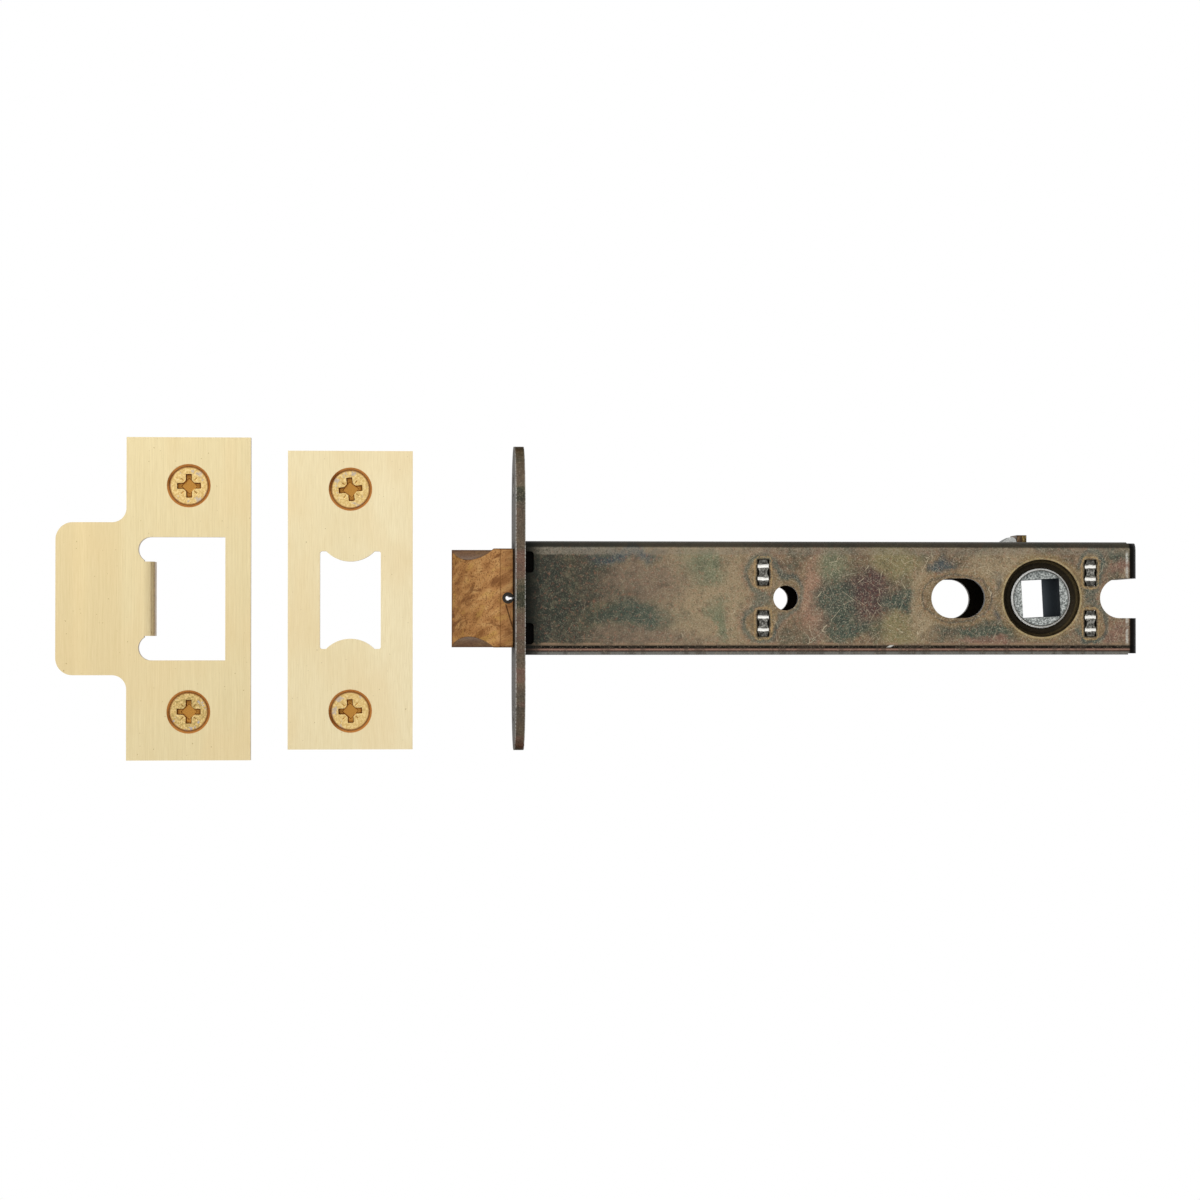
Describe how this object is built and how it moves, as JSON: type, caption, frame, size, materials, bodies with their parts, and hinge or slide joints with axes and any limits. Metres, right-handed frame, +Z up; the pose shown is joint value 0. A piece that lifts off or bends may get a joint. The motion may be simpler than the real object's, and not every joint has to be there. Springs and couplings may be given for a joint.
{
  "type": "tubular door latch",
  "caption": "Tubular door latch: a sprung bevelled bolt drawn back by a square-holed hub, with a round-ended forend, a face plate and a lipped strike plate with countersunk screws.",
  "frame": {"origin": "centre of the forend's front face, on the bolt's axis, midway between the forend's screw holes", "axes": "+X along the case from the forend to its rear end, the way the bolt is drawn in; +Z up along the forend; the bolt's bevel faces -Y"},
  "size_m": [0.2187, 0.0437, 0.066],
  "materials": {
    "case_steel": "passivated steel, dark bronze with green and red tints",
    "bare_steel": "bare steel, staked ends bright",
    "bolt_brass": "unpolished brass, stained",
    "pin_steel": "blackened spring steel",
    "hub_metal": "sintered, grey",
    "spring_steel": "drawn wire",
    "satin_brass": "satin, brushed lengthwise",
    "screw_brass": "bright brass plating"
  },
  "bodies": {
    "case": {"case_tray": "case_steel", "case_cover": "case_steel", "forend": "case_steel", "front_spacer": "bare_steel", "rear_spacer": "bare_steel", "bolt_spring": "spring_steel", "hub_spring": "spring_steel", "face_plate": "satin_brass", "face_plate_screws": "screw_brass", "strike_plate": "satin_brass", "strike_plate_screws": "screw_brass"},
    "bolt": {"latch_bolt": "bolt_brass", "bolt_pin": "pin_steel", "bolt_tail": "case_steel"},
    "hub": {"hub": "hub_metal"}
  },
  "joints": [
    {"name": "hub_turn", "type": "hinge", "parent": "case", "child": "hub", "pos_m": [0.106, 0, 0], "axis": [0, 1, 0], "range_deg": [0, 55.2], "stiffness_Nm_per_rad": 0.12, "springref_deg": -20.05, "deforming": ["hub_spring"]},
    {"name": "bolt_slide", "type": "slide", "parent": "case", "child": "bolt", "axis": [1, 0, 0], "range_m": [0, 0.01186], "stiffness_N_per_m": 600, "springref_m": -0.012, "deforming": ["bolt_spring"]}
  ],
  "couplings": [
    {"joint": "hub_turn", "follows": "bolt_slide", "rad_per_m": 80.95}
  ]
}
